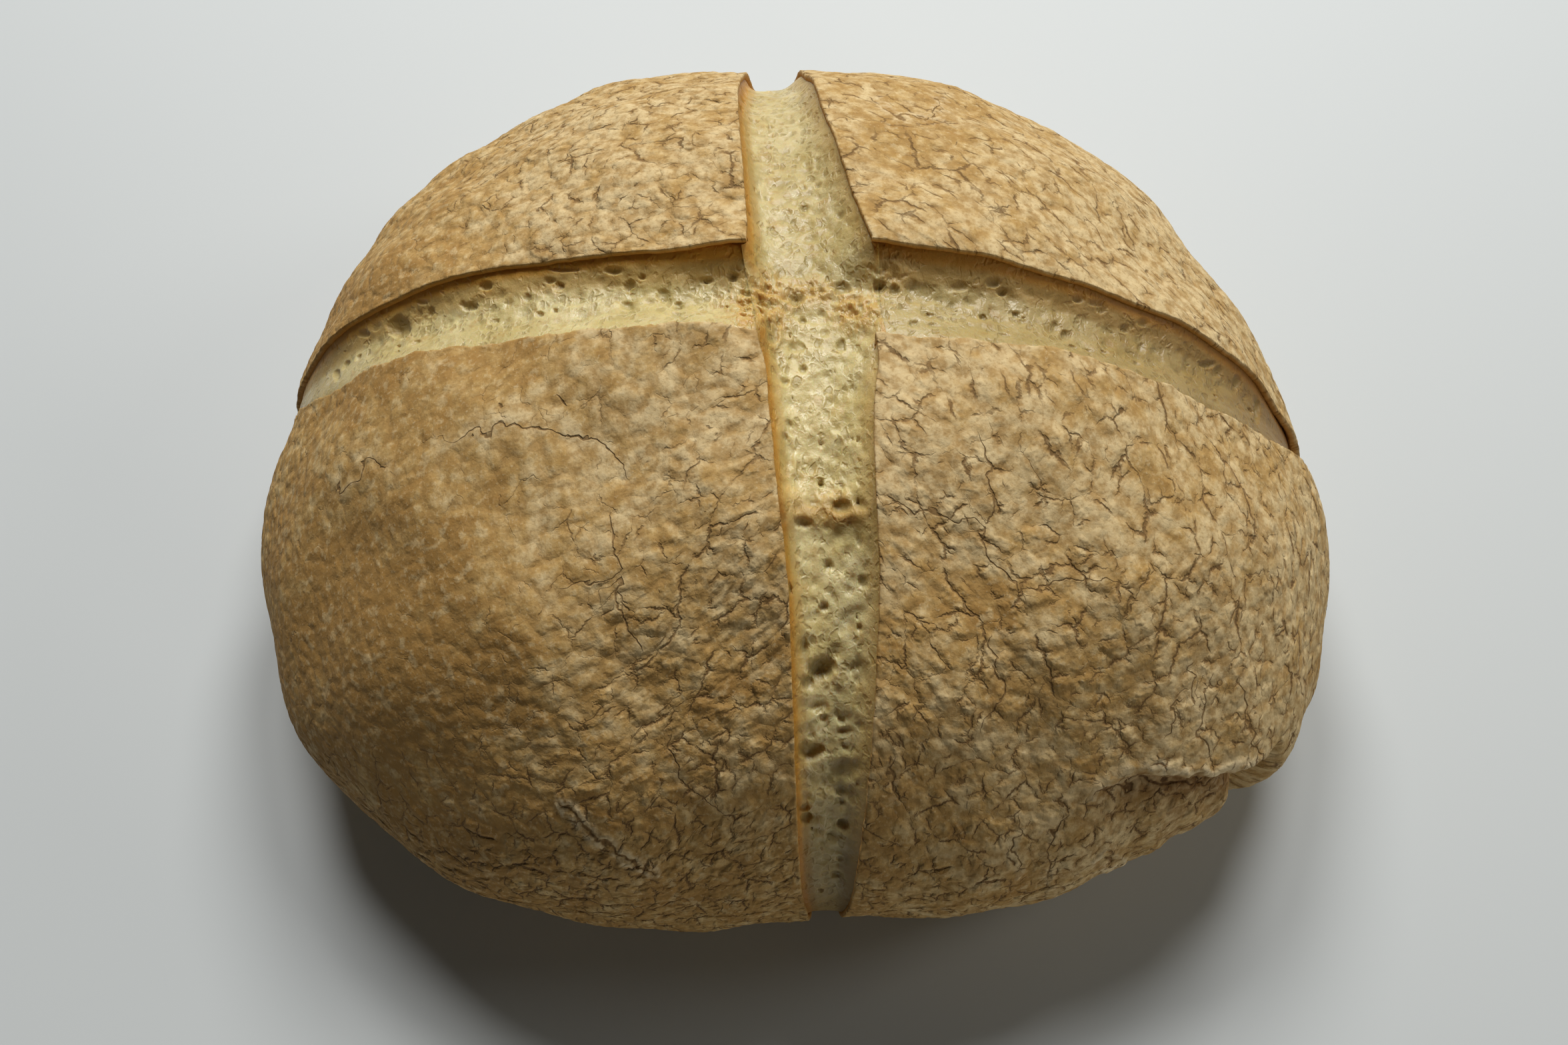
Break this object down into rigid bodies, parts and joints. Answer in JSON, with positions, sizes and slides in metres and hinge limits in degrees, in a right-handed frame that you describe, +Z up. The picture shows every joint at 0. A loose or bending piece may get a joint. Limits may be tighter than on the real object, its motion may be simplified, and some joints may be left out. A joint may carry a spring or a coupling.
{
  "type": "cross-scored bread loaf",
  "caption": "Oval domed bread loaf with a crackled crust, cut across in a cross whose opened channels show the pale crumb, resting on a flat base.",
  "frame": {"origin": "middle of the plan's box, on the flat base", "axes": "+X to the loaf's right along its longer side, +Y to its back, +Z up through the crown"},
  "size_m": [0.2397, 0.2136, 0.0987],
  "materials": {
    "crust": "matte baked crust, crackled into plates",
    "crumb": "moist open crumb with a soft gloss"
  },
  "bodies": {
    "root": {"loaf": "crust"}
  },
  "joints": []
}
